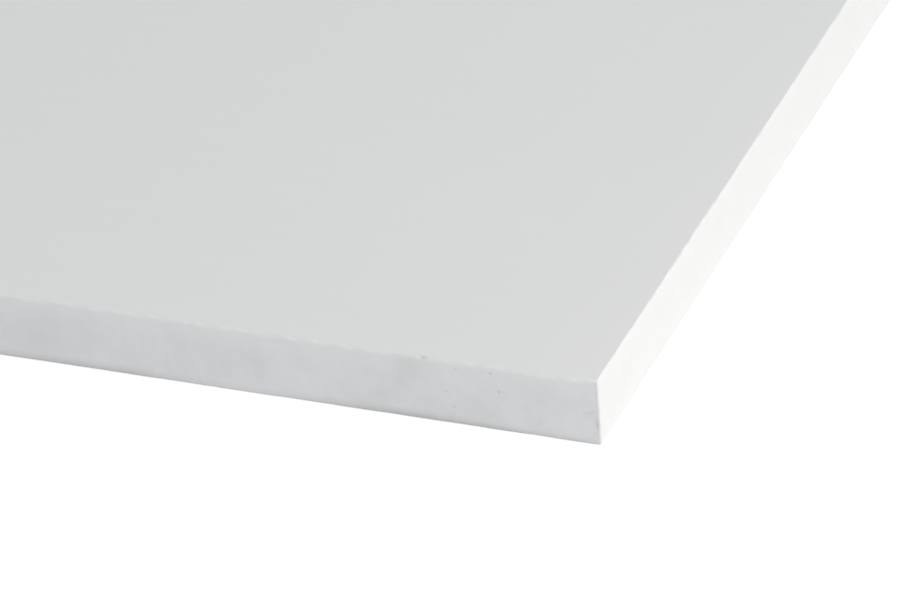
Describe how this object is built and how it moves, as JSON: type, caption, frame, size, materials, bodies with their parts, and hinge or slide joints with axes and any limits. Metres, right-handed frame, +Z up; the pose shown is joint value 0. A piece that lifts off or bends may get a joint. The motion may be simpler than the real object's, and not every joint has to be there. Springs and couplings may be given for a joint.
{
  "type": "pvc foam board",
  "caption": "Flat rectangular sheet of white foamed PVC with smooth satin skins, matt sawn edges and lightly eased arrises, stock for cutting, gluing and screwing.",
  "frame": {"origin": "middle of the underside, on the floor that the sheet lies on", "axes": "+X along the long sides, +Y along the short sides, +Z up through the thickness"},
  "size_m": [0.61, 0.305, 0.01],
  "materials": {
    "foamed_pvc": "satin extruded skins on both faces, matt sawn foam on the edges"
  },
  "bodies": {
    "root": {"foam_board": "foamed_pvc"}
  },
  "joints": []
}
